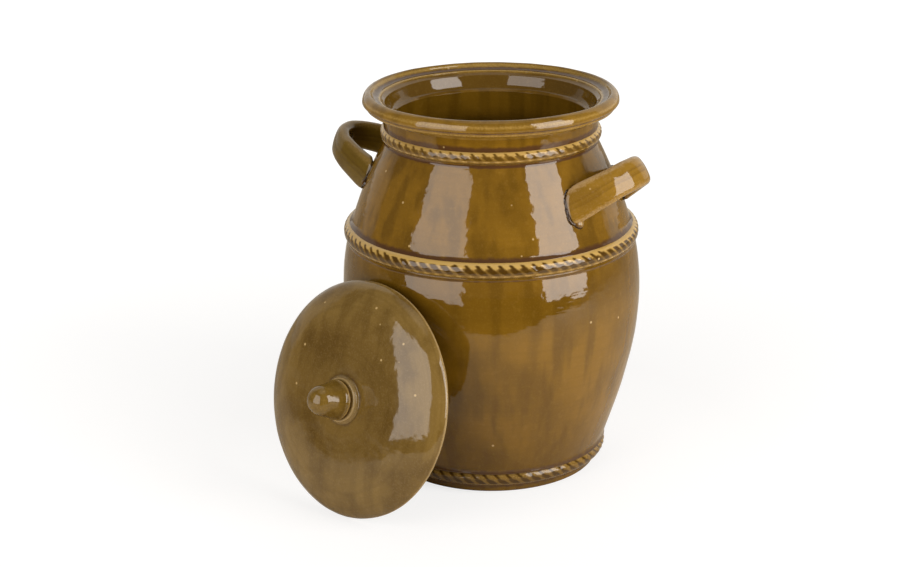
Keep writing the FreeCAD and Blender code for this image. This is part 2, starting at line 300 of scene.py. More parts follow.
jar_outline += [on_roll(degrees) for degrees in range(134, -1, -7)]
jar_outline += bend(on_roll(1), on_roll(-30), roll_foot, 8)
jar_outline += bend(roll_foot, bead_side, bead_low, 8)
jar_outline += bend(bead_low, flare, neck_top, 7)

# outside: the neck, the shoulder and the belly down to the foot. Where the two lower rope bands will
# sit, glaze fills the corner above and below, so that the wall leans out to them in a small hollow.
rope_edges = {"neck": (262.6, 273.2), "shoulder": (183.4, 196.4), "foot": (7.2, 18.2)}
filled_bands = ("shoulder", "foot")
cove_above, cove_below = 4.5 * mm, 1.8 * mm
fill_above, fill_below = 1.7 * mm, 0.7 * mm
under_band = -0.3
closest_rings = 0.35 * mm
bare_wall = smooth_skin(foot_edge, shoulder_height, False, 7)
bare_wall += smooth_skin(shoulder_height, neck_foot, False, 4)[1:]
bare_wall += [(neck_outside + neck_flare, rim_base)]


def wall_at(height):
    """The outside radius of the wall at a height."""
    radii, heights = zip(*bare_wall)
    return float(np.interp(height, heights, radii))


def glaze_fill(height):
    """How far the glaze stands out from the wall in the corners along the rope bands."""
    fill = 0
    for band in filled_bands:
        low_edge, high_edge = rope_edges[band]
        above = (height - high_edge * mm) / cove_above
        below = (low_edge * mm - height) / cove_below
        if above > under_band:
            fill = max(fill, fill_above * max(0, 1 - max(above, 0)) ** 2)
        if below > under_band:
            fill = max(fill, fill_below * max(0, 1 - max(below, 0)) ** 2)
        if above <= under_band and below <= under_band:
            return 0
    return fill


# the rings of the mesh lie closer together along the edges of the bands
outer_heights = [height for radius, height in bare_wall]
for low_edge, high_edge in rope_edges.values():
    outer_heights += [high_edge * mm + step * 0.75 * mm for step in range(-2, 7)]
    outer_heights += [low_edge * mm - step * 0.6 * mm for step in range(-2, 5)]
outer_heights = sorted(height for height in outer_heights if foot_edge <= height < rim_base)
spread = [outer_heights[0]]
for height in outer_heights:
    if height - spread[-1] > closest_rings:
        spread.append(height)
outer_wall = [(wall_at(height) + glaze_fill(height), height) for height in spread]
jar_outline += outer_wall[::-1]
foot_start = outer_wall[0]
foot_end = (foot_start[0] - foot_edge, 0)
foot_centre = 10 * mm
foot_middle = (foot_start[0] - 0.29 * foot_edge, 0.29 * foot_edge)
jar_outline += bend(foot_start, foot_middle, foot_end, 5)
jar_outline += straight(foot_end, (foot_centre, 0), 8)
jar_outline += [(0, 0)]

# where the glaze pools, and where it breaks thin: radius, height, reach and strength of each ring
pool_rings = [
    (groove[0], groove[1], 3.8 * mm, 0.85),
    (bead_low[0], bead_low[1], 2.2 * mm, 0.45),
    (roll_foot[0], roll_foot[1], 1.2 * mm, 0.9),
    (neck_outside, 274.0 * mm, 4.4 * mm, 0.85),
    (neck_outside, 261.6 * mm, 2.0 * mm, 1.0),
    (wall_at(196.6 * mm) + 1 * mm, 196.6 * mm, 5.4 * mm, 0.95),
    (wall_at(182.6 * mm), 182.6 * mm, 1.6 * mm, 0.6),
    (wall_at(19 * mm) + 1 * mm, 18.6 * mm, 4.4 * mm, 0.7),
    (wall_at(6 * mm), 5.0 * mm, 3.0 * mm, 0.55),
    (foot_start[0], 0, 3.0 * mm, 0.5),
]
thin_rings = [
    (lip[0] + 0.6 * mm, lip[1] + 0.8 * mm, 2.6 * mm, 0.6),
    (seat_inner[0] - 0.5 * mm, seat_inner[1], 2.4 * mm, 0.65),
    (roll_side[0] - 0.6 * mm, roll_side[1] + 3.0 * mm, 2.4 * mm, 0.4),
    (bead_side[0], bead_side[1], 1.6 * mm, 0.45),
]


def runs_and_mouth_shade(radii, heights):
    """How deep the glaze is painted: painted shade of the hollow, deep inside the mouth and a little on
    all that lies within the neck's width below the rim; deeper where the glaze ran down the belly;
    darker towards the foot.
    """
    in_neck = radii < neck_outside - 1.5 * mm
    in_mouth = (heights > mouth_corner - 2 * mm) & (radii < seat_side[0])
    # painted shade: the inside of the mouth is painted deep, and all within the neck's width a little
    # deeper
    painted_mouth_shade = (in_neck | in_mouth) * np.where(heights > rim_cut, 0.9, 0.15)
    belly = 0.6 * np.clip(1.4 - np.abs(heights - 162 * mm) / (18 * mm), 0, 1)
    foot = 0.35 * np.clip((70 * mm - heights) / (50 * mm), 0, 1)
    return np.maximum.reduce([painted_mouth_shade, belly, foot])


rim_cut = rim_base - 0.3 * mm
jar_wall = throw("jar_wall", jar_outline, 240, pool_rings, thin_rings, runs_and_mouth_shade)
wobble(jar_wall, finger_marks, 6 * mm)


def linear(code):
    """The linear colour of an sRGB hex value."""
    parts = [int(code[at:at + 2], 16) / 255 for at in (1, 3, 5)]
    return tuple(p / 12.92 if p <= 0.04045 else ((p + 0.055) / 1.055) ** 2.4 for p in parts) + (1,)


def add(tree, kind, inputs, **settings):
    """Adds one node with its settings, and its inputs as values or as other nodes' outputs."""
    node = tree.nodes.new(kind)
    for name, value in settings.items():
        setattr(node, name, value)
    for socket, value in inputs.items():
        if isinstance(value, bpy.types.NodeSocket):
            tree.links.new(value, node.inputs[socket])
        else:
            node.inputs[socket].default_value = value
    return node


def amber_glaze(name, body, deep_and_shade, pooled, thin, cloud_size=46 * mm,
                runs=0.7, streaks=0.12, speckle=0.08, gloss=0.05):
    """A transparent iron glaze, fired to a glossy glass over buff stoneware. The eye sees honey brown,
    deeper where it lies thick in clouds and runs, purple-brown in pools, yellow where it breaks on
    edges, with a few pinholes. The deep, pooled and pale colours also stand for painted shade in
    hollows and under overhangs, and for painted highlights on some edges. The sizes of its patterns
    are real ones, in metres."""
    made = bpy.data.materials.new(name)
    made.use_nodes = True
    tree = made.node_tree
    shader = tree.nodes["Principled BSDF"]
    place = add(tree, "ShaderNodeTexCoord", {}).outputs["Object"]
    drawn, pool, edge, thick = [
        add(tree, "ShaderNodeAttribute", {}, attribute_name=level).outputs["Fac"]
        for level in ("drawn", "pool", "thin", "thick")]

    def noise(size, detail=2.0, vector=place):
        sizes = {"Vector": vector, "Scale": 1 / size, "Detail": detail}
        return add(tree, "ShaderNodeTexNoise", sizes).outputs["Fac"]

    def share(value, low, high, most):
        limits = {"Value": value, "From Min": low, "From Max": high, "To Max": most}
        return add(tree, "ShaderNodeMapRange", limits, interpolation_type="SMOOTHSTEP").outputs[0]

    def blend(amount, under, over):
        mixed = add(tree, "ShaderNodeMix", {0: amount, 6: under, 7: over}, data_type="RGBA")
        return mixed.outputs[2]

    def weighted(value, weight, other):
        terms = {0: value, 1: weight, 2: other}
        return add(tree, "ShaderNodeMath", terms, operation="MULTIPLY_ADD").outputs[0]

    clouds = noise(cloud_size, 4.0)
    ripple = noise(9 * mm, 1.0)
    mottle = noise(5 * mm, 3.0)
    grain = noise(1.3 * mm)
    # the runs are drawn out to eight times their breadth, down the wall
    run_place = add(tree, "ShaderNodeMapping", {"Vector": place, "Scale": (1, 1, 0.12)}).outputs[0]
    run = noise(13 * mm, 2.0, run_place)
    # the rings that the fingers left as the clay was drawn up, 3.4 mm apart and a little astray
    across = add(tree, "ShaderNodeMath", {0: drawn, 1: 1 / (3.4 * mm)}, operation="MULTIPLY").outputs[0]
    along = {"W": weighted(clouds, 1.6, across), "Scale": 1.0, "Detail": 2.0}
    rings = add(tree, "ShaderNodeTexNoise", along, noise_dimensions="1D").outputs["Fac"]

    # each pattern: the values between which its colour comes in, how much of it at most, the colour
    patterns = (
        (clouds, 0.42, 0.70, 0.6, deep_and_shade),
        (run, 0.44, 0.66, runs, deep_and_shade),
        (rings, 0.44, 0.74, streaks, deep_and_shade),
        (mottle, 0.55, 0.78, 0.10, thin),
        (grain, 0.46, 0.78, speckle, thin),
        # the pale edges: glaze that breaks thin, and painted highlights on some edges
        (weighted(grain, 0.5, edge), 0.35, 1.05, 0.9, thin),
        # the pools: glaze pooled in hollows, and painted shade in some of them
        (weighted(mottle, 0.8, pool), 0.58, 1.25, 0.9, pooled),
    )
    # the deep coat: thicker glaze, and painted shade inside the mouth and round the lid's knob
    tone = blend(thick, linear(body), linear(deep_and_shade))
    for pattern, low, high, most, colour in patterns:
        tone = blend(share(pattern, low, high, most), tone, linear(colour))
    cells = add(tree, "ShaderNodeTexVoronoi", {"Vector": place, "Scale": 1 / (19 * mm)})
    pinhole = share(cells.outputs["Distance"], 0.068, 0.03, 0.8)
    tone = blend(pinhole, tone, linear("#cdb078"))
    tree.links.new(tone, shader.inputs["Base Color"])
    shader.inputs["Roughness"].default_value = gloss
    shader.inputs["IOR"].default_value = 1.52
    ring_relief = {"Height": rings, "Distance": 0.05 * mm, "Strength": 0.6}
    ring_bump = add(tree, "ShaderNodeBump", ring_relief).outputs[0]
    skin_relief = {"Height": weighted(mottle, 0.16, ripple), "Distance": 0.30 * mm, "Strength": 0.8,
                   "Normal": ring_bump}
    tree.links.new(add(tree, "ShaderNodeBump", skin_relief).outputs[0], shader.inputs["Normal"])
    return made


# The full coat on the wall: glossy honey brown with soft darker runs.
wall_glaze = amber_glaze("amber_glazed_stoneware_wall", "#7d5b15", "#5d420b", "#4a301e", "#a8843c")
jar_wall.data.materials.append(wall_glaze)

# The rim is the thick top of the same pull, rolled outwards over a finger. Its glaze is thinner and
# yellower on the roll, and lies dark in the seat where the lid's edge rests.

bpy.ops.object.mode_set(mode="EDIT")
bpy.ops.mesh.select_mode(type="FACE")
mesh = bmesh.from_edit_mesh(jar_wall.data)
for face in mesh.faces:
    face.select = face.calc_center_median().z > rim_cut
bmesh.update_edit_mesh(jar_wall.data)
bpy.ops.mesh.separate(type="SELECTED")
bpy.ops.object.mode_set(mode="OBJECT")
rolled_rim = next(piece for piece in bpy.context.selected_objects if piece != jar_wall)
rolled_rim.name = "rolled_rim"
for piece in (jar_wall, rolled_rim):
    take_up(piece)
    bpy.ops.object.mode_set(mode="EDIT")
    join_open_edges(piece)
    bpy.ops.object.shade_smooth_by_angle(angle=math.radians(60))

# The same coat where it has drained from the roll: yellower, and brown in the seat. Inside the
# mouth it is painted deep, as shade of the hollow.
rim_glaze = amber_glaze("amber_glaze_on_rim", "#886722", "#684b12", "#4a3124", "#b59550")
rolled_rim.data.materials.clear()
rolled_rim.data.materials.append(rim_glaze)
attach(jar_wall, "crock")
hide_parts("jar_body")
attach(rolled_rim, "crock")
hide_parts("rim")

# Each rope band is a coil of clay luted round the leather-hard wall, then pressed with the edge of
# a stick at an even slant, so that it looks like a twisted rope. Glaze breaks yellow on its strands
# and lies brown in the gashes; a plain border is left along the lower edge.

slant = math.radians(48)
columns = 9
coil_sides = 48
narrowest_gash = 0.10


def pressed_rope(name, node, height, breadth, proud, marks, top_angle, low_angle, depth, gash_width,
                 bare, filled):
    """A coil on the wall, pressed with slanted gashes between two angles on its round face. Bare and
    filled say how far the glaze runs off the strands, and how far it fills the gashes."""
    wall = wall_at(height)
    coil_radius = ((breadth / 2) ** 2 + (2 * proud) ** 2) / (4 * proud)
    centre_radius = wall + proud - coil_radius
    bpy.ops.mesh.primitive_torus_add(
        major_radius=centre_radius, minor_radius=coil_radius, location=(0, 0, height),
        major_segments=marks * columns, minor_segments=coil_sides)
    coil = bpy.context.object
    coil.name = name
    bpy.ops.object.transform_apply()
    bpy.ops.object.mode_set(mode="EDIT")
    bpy.ops.mesh.select_mode(type="VERT")
    mesh = bmesh.from_edit_mesh(coil.data)
    for vertex in mesh.verts:
        vertex.select = math.hypot(vertex.co.x, vertex.co.y) < centre_radius - 0.2 * coil_radius
    bmesh.update_edit_mesh(coil.data)
    bpy.ops.mesh.delete(type="VERT")
    # the back, pressed flat on the wall
    join_open_edges(coil)
    # the slant: each level is turned a little further round than the one above it
    points = points_of(coil)
    radii = np.hypot(points[:, 0], points[:, 1])
    turns = np.arctan2(points[:, 1], points[:, 0])
    rise = points[:, 2] - height
    column = np.round(turns / math.tau * marks * columns) / columns % 1
    turns = turns - rise * math.tan(slant) / (wall + proud)
    for vertex, radius, turn in zip(coil.data.vertices, radii, turns):
        vertex.co.x, vertex.co.y = radius * math.cos(turn), radius * math.sin(turn)
    # the gashes: narrow and shallow at the top, wide and deep at the bottom, where they end abruptly
    around_coil = np.degrees(np.arctan2(rise, radii - centre_radius))
    down = (top_angle - around_coil) / (top_angle - low_angle)
    away = np.abs(column - 0.5) * 2
    half_width = narrowest_gash + (gash_width - narrowest_gash) * np.clip(down / 0.6, 0, 1)
    across = np.clip(1 - (away / half_width) ** 2, 0, 1)
    # the hand's unevenness: each mark is a little less deep than the deepest, in no clear order
    mark = np.floor(turns / math.tau * marks)
    uneven = 0.88 + 0.12 * np.sin(mark * 12.9898)
    window = np.clip((down + 0.10) / 0.3, 0, 1) * np.clip((1.05 - down) / 0.14, 0, 1)
    pressed = across * window * (0.5 + 0.5 * np.clip(down / 0.7, 0, 1)) * uneven
    press_in(coil, "gashes", np.where(pressed > 0.001, pressed, 0), depth)
    bpy.ops.object.shade_smooth()
    # the glaze: bare on the strands and at their foot, brown in the gashes, thick on the border
    strand = np.clip((1.0 - down) / 0.9, 0.1, 1) * np.clip((down + 0.3) / 0.2, 0, 1)
    base = np.clip(1 - np.abs(down - 1.14) / 0.2, 0, 1) * (0.2 + 0.8 * away)
    below = np.clip((down - 1.3) / 0.25, 0, 1)
    dark = np.clip(2.4 * pressed, 0, 1)
    set_levels(coil, drawn=rise, pool=filled * dark, thick=below,
               thin=np.clip(bare * np.maximum(strand, 0.8 * base) - 1.2 * dark, 0, 1))
    coil.data.materials.append(rope_glaze)
    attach(coil, "crock")
    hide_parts(node)


# The same amber glaze where it breaks: straw yellow on the strands, dark olive in the gashes.
rope_glaze = amber_glaze("amber_glaze_breaking_on_rope", "#7f6024", "#604822", "#432c05", "#c4a25c",
                         runs=0.1)
pressed_rope("neck_rope_band", "neck_rope", 267.9 * mm, 10.6 * mm, 2.5 * mm, marks=64,
             top_angle=56, low_angle=-14, depth=0.45 * mm, gash_width=0.8, bare=0.9, filled=0.62)
pressed_rope("shoulder_rope_band", "shoulder_rope", 189.9 * mm, 13 * mm, 4.2 * mm, marks=84,
             top_angle=58, low_angle=-18, depth=0.45 * mm, gash_width=0.86, bare=0.95, filled=0.9)
pressed_rope("foot_rope_band", "foot_rope", 12.7 * mm, 11 * mm, 3.4 * mm, marks=64,
             top_angle=58, low_angle=-42, depth=0.6 * mm, gash_width=0.7, bare=0.4, filled=1.0)

# Each handle is a strap pulled from a lump of clay with a wet hand: flat inside, crowned outside. It
# is bent to a loop while soft, and its two butt ends are pressed on the shoulder. Its glaze is
# thinner than the wall's, and so a lighter gold, with long faint grooves left by the fingers.

strap_width = 25.0 * mm
strap_thickness = 13.0 * mm
strap_edge = 5.5 * mm
half_span = 39.2 * mm
root_sink = 7.5 * mm
bend_reach = 27.0 * mm
half_length = 78.0 * mm
strap_crown = 0.8 * mm
root_widening = 4.0 * mm
widening_starts, widening_reach = 24 * mm, 38 * mm
strap_steps = 130
deepest_root = 3.5 * mm
butt_round = 3.4 * mm
strap_dents = ((17 * mm, 0.7 * mm), (7 * mm, 0.15 * mm))
handles = {
    "right": {"azimuth": 0.0, "tilt": 34.2, "roll": -3.0, "root_drop": 32.9 * mm, "reach": 37.0 * mm},
    "left": {"azimuth": 180.0, "tilt": 20.8, "roll": 0.6, "root_drop": 28.8 * mm, "reach": 44.5 * mm},
}


def strap_section():
    """Points round the strap's section: how far out from its middle line, and how far up."""
    edge_out = strap_thickness / 2 - strap_crown - strap_edge
    edge_up = strap_width / 2 - strap_edge
    crown_centre = edge_out - (edge_up ** 2 - strap_crown ** 2) / (2 * strap_crown)
    crown_radius = strap_thickness / 2 - crown_centre
    tangent = math.atan2(edge_up, edge_out - crown_centre)
    crown_angles = [tangent * (2 * step / 10 - 1) for step in range(10)]
    edge_angles = [tangent + (math.pi - tangent) * step / 8 for step in range(9)]
    outside = arc(crown_centre, 0, crown_radius, crown_angles)
    edge = arc(edge_out, edge_up, strap_edge, edge_angles)
    inside = [(edge_out - strap_edge, edge_up * (1 - 2 * step / 5)) for step in range(1, 5)]
    return outside + edge + inside + [(out, -up) for out, up in edge[:0:-1]]


def strap_stations(side):
    """The strap's middle line in its own plane: places, the way its outer face looks, and widths."""
    travel = np.linspace(-half_length, half_length, strap_steps + 1)
    tip = strap_steps // 2
    # how far the strap turns before it leaves straight for its roots, found by halving
    least, most = math.radians(40), math.radians(90)
    for halving in range(24):
        leaving = (least + most) / 2
        looks = -leaving * np.tanh(travel / bend_reach)
        along = np.stack([np.sin(looks), -np.cos(looks)], 1)
        steps_made = (along[1:] + along[:-1]) / 2 * (travel[1] - travel[0])
        places = np.concatenate(([[0, 0]], np.cumsum(steps_made, axis=0)))
        places += np.array([handles[side]["reach"], 0]) - places[tip]
        if np.interp(0, places[:tip, 0], places[:tip, 1]) > half_span:
            least = leaving
        else:
            most = leaving
    widening = np.clip((np.abs(travel) - widening_starts) / widening_reach, 0, 1.4)
    wide = 1 + root_widening / strap_width * widening
    return places, looks, wide


def handle_pose(side):
    """Tilts the flat loop up and sets it on the shoulder, its root so far below the neck."""
    azimuth, tilt, roll = [math.radians(handles[side][way]) for way in ("azimuth", "tilt", "roll")]
    root_height = neck_foot - handles[side]["root_drop"]
    out = Matrix.Translation((wall_at(root_height) - root_sink, 0, root_height))
    lean = Matrix.Rotation(-tilt, 4, "Y") @ Matrix.Rotation(roll, 4, "X")
    return Matrix.Rotation(azimuth, 4, "Z") @ out @ lean


def above_wall(points):
    """How far each point stands out from the wall."""
    outside = np.array([wall_at(height) for height in points[:, 2]])
    return np.hypot(points[:, 0], points[:, 1]) - outside


def pulled_strap(side, finish):
    """The strap of one handle, bent round step by step from its root."""
    places, looks, wide = strap_stations(side)
    section = strap_section()
    bpy.ops.mesh.primitive_circle_add(vertices=len(section), radius=strap_width / 2, fill_type="NGON")
    strap = bpy.context.object
    strap.name = side + "_strap_handle"
    butt = Vector((*places[0], 0))
    outwards = Vector((math.cos(looks[0]), math.sin(looks[0]), 0))
    for vertex, (out, up) in zip(strap.data.vertices, section):
        vertex.co = butt + outwards * out + Vector((0, 0, up * wide[0]))
    bpy.ops.object.mode_set(mode="EDIT")
    bpy.ops.mesh.select_mode(type="FACE")
    bpy.ops.mesh.select_all(action="SELECT")
    for step in range(strap_steps):
        move = (*(places[step + 1] - places[step]), 0)
        here = (*places[step + 1], 0)
        bpy.ops.mesh.extrude_region_move(TRANSFORM_OT_translate={"value": move})
        bpy.ops.transform.rotate(value=looks[step] - looks[step + 1], orient_axis="Z",
                                 center_override=here)
        bpy.ops.transform.resize(value=(1, 1, wide[step + 1] / wide[step]), center_override=here)
    skin_outwards()
    across = points_of(strap)[:, 2]
    strap.matrix_world = handle_pose(side)
    bpy.ops.object.transform_apply()
    wobble(strap, strap_dents)
    # the butt ends are rounded in towards the wall, and end inside its clay
    gap = above_wall(points_of(strap))
    lift = np.clip(1 - gap / butt_round, 0, 1)
    press_in(strap, "butt_ends", 1 - np.sqrt(1 - lift ** 2), 0.85 * butt_round)
    gap = above_wall(points_of(strap))
    for vertex, distance in zip(strap.data.vertices, gap):
        if distance < -deepest_root:
            inwards = Vector((vertex.co.x, vertex.co.y, 0)).normalized() * (-deepest_root - distance)
            vertex.co += inwards
    bpy.ops.object.shade_smooth()
    # the upper edge carries a painted reflection of the pale ceiling, over glaze that ran thin there;
    # the glaze stands in the corner at the root, with painted shade in that crevice
    to_edge = np.clip(np.abs(across) / strap_width * 2 - 0.55, 0, 1)
    set_levels(strap, drawn=across, pool=np.clip(1.3 - gap / (1.6 * mm), 0, 1),
               # painted reflection: the upper edge is made paler than the lower one
               thin=to_edge * np.where(across > 0, 1.5, 0.7))
    strap.data.materials.append(finish)
    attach(strap, "crock")
    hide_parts(side + "_handle")


# A thin coat: light gold with long faint grooves, and a pale painted reflection of the ceiling along
# each strap's upper edge. The left strap has a darker copy of it, painted shade, as it gets less light.
handle_glaze = amber_glaze("thin_amber_glaze_on_handle", "#8f6c24", "#6f5014", "#33210c", "#bda074",
                           cloud_size=30 * mm, runs=0.0, streaks=0.75)
shaded_glaze = amber_glaze("amber_glaze_with_painted_shade_on_left_handle", "#665016", "#4e390d", "#2c1d0a", "#92763c",
                           cloud_size=30 * mm, runs=0.0, streaks=0.6)
pulled_strap("right", handle_glaze)
pulled_strap("left", shaded_glaze)

# A thin roll of soft clay is worked into the corner round each butt end with a wooden tool, to lute
# the handle to the shoulder. Under the glaze it is a dark uneven seam, with a lump where it ends.

lute_radius = 0.9 * mm
lute_lump = 3.0 * mm
lump_length = 0.05
seam_inset = 2.0 * mm
lute_dents = ((6 * mm, 0.3 * mm),)
# how far round the seam each lump lies, from 0 to 1
lumps = {("right", "front"): 0.86, ("right", "rear"): 0.35, ("left", "front"): 0.1,
         ("left", "rear"): 0.35}


def seam_line(side, leg):
    """The line in which the strap's skin meets the wall, one point for each point of the section."""
    places, looks, wide = strap_stations(side)
    pose = handle_pose(side)
    # the loop starts at its root with +Y, which the right handle has behind and the left one in front
    if (leg == "rear") == (side == "right"):
        order = range(0, strap_steps // 2)
    else:
        order = range(strap_steps, strap_steps // 2, -1)
    seam = []
    for out, up in strap_section():
        buried = None
        for step in order:
            outwards = np.array([math.cos(looks[step]), math.sin(looks[step])])
            place = pose @ Vector((*(places[step] + outwards * out), up * wide[step]))
            gap = math.hypot(place.x, place.y) - wall_at(place.z)
            if gap > 0 and buried:
                seam.append(buried[0].lerp(place, buried[1] / (buried[1] - gap)))
                break
            buried = (place, gap)
    return seam


def seam_lute(side, leg, lump_at):
    """A roll of clay along the seam, thicker in some places, with one lump."""
    seam = seam_line(side, leg)
    bpy.ops.mesh.primitive_torus_add(major_radius=strap_width / 2, minor_radius=lute_radius,
                                     major_segments=len(seam) * 3, minor_segments=14)
    lute = bpy.context.object
    lute.name = side + "_" + leg + "_seam_lute"
    middle = sum(seam, Vector()) / len(seam)
    for vertex in lute.data.vertices:
        share = math.atan2(vertex.co.y, vertex.co.x) / math.tau % 1 * len(seam)
        first = seam[int(share) % len(seam)]
        second = seam[(int(share) + 1) % len(seam)]
        place = first.lerp(second, share % 1)
        wall_out = Vector((place.x, place.y, 0)).normalized()
        sideways = place - middle
        sideways = (sideways - wall_out * sideways.dot(wall_out)).normalized()
        out = math.hypot(vertex.co.x, vertex.co.y) - strap_width / 2
        swell = 0.9 + 0.2 * math.sin(share * 1.7) + 0.15 * math.sin(share * 4.1)
        away = abs((share / len(seam) - lump_at + 0.5) % 1 - 0.5)
        lump = math.exp(-(away / lump_length) ** 2)
        swell += lute_lump / lute_radius * lump
        level = vertex.co.z * swell * 0.8 - 0.3 * lute_radius
        vertex.co = place + sideways * (out * swell - seam_inset * (1 - lump)) + wall_out * level
    wobble(lute, lute_dents)
    bpy.ops.object.mode_set(mode="EDIT")
    skin_outwards()
    bpy.ops.object.shade_smooth()
    points = points_of(lute)
    gap = above_wall(points)
    # darker towards the wall: glaze pooled in the crevice, with painted shade there
    set_levels(lute, drawn=points[:, 2], pool=np.clip(1.2 - gap / (2.2 * mm), 0, 1),
               thin=np.clip(gap / (3 * mm) - 0.5, 0, 1))
    lute.data.materials.append(seam_glaze)
    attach(lute, "crock")
    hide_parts(side + "_" + leg + "_lute")


# A thick coat that ran into the seam and stayed dark brown, darkened further by painted shade of the
# crevice.
seam_glaze = amber_glaze("dark_glaze_and_painted_shade_in_handle_seams", "#5f4115", "#402a0f", "#291809", "#a08040",
                         cloud_size=20 * mm, runs=0.0)
for (side, leg), lump_at in lumps.items():
    seam_lute(side, leg, lump_at)

# The lid is thrown as a shallow dish and turned over: it rounds down more and more towards its
# edge, and has a ring under it that keeps it on the jar. It was glazed and fired lying flat. Its
# glaze is a little thinner and tanner than the jar's, mottled, and dark round the knob's collar,
# where the glaze pools at its foot and a broad ring of painted shade lies round it.

lid_radius = 90.16 * mm
lid_edge = 2.0 * mm
# the dome's bends from the edge inwards: radius of each, and the slope in degrees at its end
lid_bends = ((4.2 * mm, 62), (17 * mm, 33), (61 * mm, 6), (145 * mm, 0))
lid_thickness = 6.0 * mm
guide_radius = 73.0 * mm
guide_thickness = 5.0 * mm
guide_depth = 7.7 * mm
collar_hollow = 0.35 * mm
lid_dents = ((30 * mm, 0.5 * mm), (11 * mm, 0.12 * mm))
shade_radius, shade_reach = 40 * mm, 20 * mm
lid_azimuth = math.radians(-105.8)
lid_lean = math.radians(15.56)
lid_distance = 143.76 * mm
lid_sideways = -3.0 * mm
lid_height = (lid_radius - lid_edge) * math.cos(lid_lean) + lid_edge * (1 - math.sin(lid_lean))
lid_pose = (Matrix.Rotation(lid_azimuth, 4, "Z")
            @ Matrix.Translation((lid_distance, lid_sideways, lid_height))
            @ Matrix.Rotation(math.pi / 2 - lid_lean, 4, "Y"))


def lean_on_jar(piece):
    """Stands a finished piece of the lid on its edge, leaning on the jar."""
    take_up(piece)
    piece.matrix_world = lid_pose
    bpy.ops.object.transform_apply()


top_side = [(lid_radius, lid_edge)]
slope = math.radians(90)
for radius, end_degrees in lid_bends:
    start = top_side[-1]
    centre = (start[0] - radius * math.sin(slope), start[1] - radius * math.cos(slope))
    end_slope = math.radians(end_degrees)
    middle_slope = (slope + end_slope) / 2
    middle = (centre[0] + radius * math.sin(middle_slope), centre[1] + radius * math.cos(middle_slope))
    end = (centre[0] + radius * math.sin(end_slope), centre[1] + radius * math.cos(end_slope))
    steps = max(4, round(radius * (slope - end_slope) / (1.6 * mm)))
    top_side += bend(start, middle, end, steps)
    slope = end_slope
crown = top_side[-1][1]
crown_edge = top_side[-1][0]
top_side += [(radius * mm, crown - collar_hollow * max(0, 1 - abs(radius - 20) / 9) ** 2)
             for radius in np.arange(math.floor(crown_edge / mm) - 1, 10, -1.5)]
top_side += [(6 * mm, crown), (0, crown)]
dome_radii, dome_heights = np.array(top_side[::-1]).T
guide_inside = guide_radius - guide_thickness
ceiling_edge = float(np.interp(guide_inside, dome_radii, dome_heights)) - lid_thickness
ceiling_crown = crown - lid_thickness
guide_low = guide_thickness / 2 - guide_depth
ceiling = [(guide_inside * share, ceiling_crown - (ceiling_crown - ceiling_edge) * share ** 2)
           for share in np.linspace(0.06, 1, 16)]
lid_outline = [(0, ceiling_crown)] + ceiling
lid_outline += straight((guide_inside, ceiling_edge), (guide_inside, guide_low), 4)
lid_outline += bend((guide_inside, guide_low), (guide_radius - guide_thickness / 2, -guide_depth),
                    (guide_radius, guide_low), 8)
lid_outline += straight((guide_radius, guide_low), (guide_radius, 0), 3)
lid_outline += straight((guide_radius, 0), (lid_radius - lid_edge, 0), 7)
lid_outline += bend((lid_radius - lid_edge, 0), (lid_radius - 0.29 * lid_edge, 0.29 * lid_edge),
                    (lid_radius, lid_edge), 5)
lid_outline += top_side[1:]
lid_pools = [(17.5 * mm, crown, 5.0 * mm, 0.55), (guide_radius, 0, 3 * mm, 0.8)]
lid_thins = [(lid_radius - 0.3 * mm, lid_edge, 2.2 * mm, 0.8)]


def painted_shade_round_collar(radii, heights):
    """A broad ring of painted shade round the collar, between it and the lid's shoulder."""
    return 0.4 * np.clip(1.3 - np.abs(radii - shade_radius) / shade_reach, 0, 1)


lid_dome = throw("thrown_lid", lid_outline, 224, lid_pools, lid_thins, painted_shade_round_collar)
wobble(lid_dome, lid_dents)
lean_on_jar(lid_dome)
# A thinner coat than the jar's, a little less glossy: tan, mottled, with soft darker clouds.
lid_glaze = amber_glaze("tan_amber_glaze_on_lid", "#7b6230", "#523b10", "#4d3620", "#a08758",
                        cloud_size=30 * mm, runs=0.4, streaks=0.15, speckle=0.15, gloss=0.08)
lid_dome.data.materials.append(lid_glaze)
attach(lid_dome, "lid")
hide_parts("lid_dome")

# The collar is the low ring of clay left in the middle of the lid when it was turned, on which the
# knob is thrown. Its top edge shows a pale line where the glaze breaks, with a painted highlight
# along it; painted shade lies on its top under the knob's lip, and the glaze pools at its foot.

collar_radius = 16.9 * mm
collar_flare = 1.8 * mm
collar_height = 3.6 * mm
collar_middle = 6 * mm
collar_sink = 1.2 * mm
rounding = collar_height / 2
collar_top = crown + collar_height
collar_side = (collar_radius, collar_top - rounding)
collar_outline = [(0, collar_top), (collar_middle, collar_top)]
collar_outline += straight((collar_middle, collar_top), (collar_radius - rounding, collar_top), 6)
collar_outline += bend((collar_radius - rounding, collar_top),
                       (collar_radius - rounding / 4, collar_top - rounding / 4), collar_side, 6)
collar_outline += bend(collar_side, (collar_radius + collar_flare / 3, crown + rounding / 3),
                       (collar_radius + collar_flare, crown - collar_hollow), 6)
collar_outline += straight((collar_radius + collar_flare, crown - collar_hollow),
                           (collar_middle, crown - collar_sink), 5)
collar_outline += [(0, crown - collar_sink)]
collar = throw("lid_collar", collar_outline, 120,
               # the glaze pools at the collar's foot, and painted shade lies on its top under the
               # knob's lip
               [(collar_radius + collar_flare, crown, 1.2 * mm, 0.3),
                (12 * mm, collar_top, 3.5 * mm, 0.6)],
               # a pale line where the glaze breaks on the top edge, with a painted highlight along it
               [(collar_radius, collar_top - rounding / 2, 3.0 * mm, 0.8)])
wobble(collar, ((14 * mm, 0.3 * mm),))
lean_on_jar(collar)
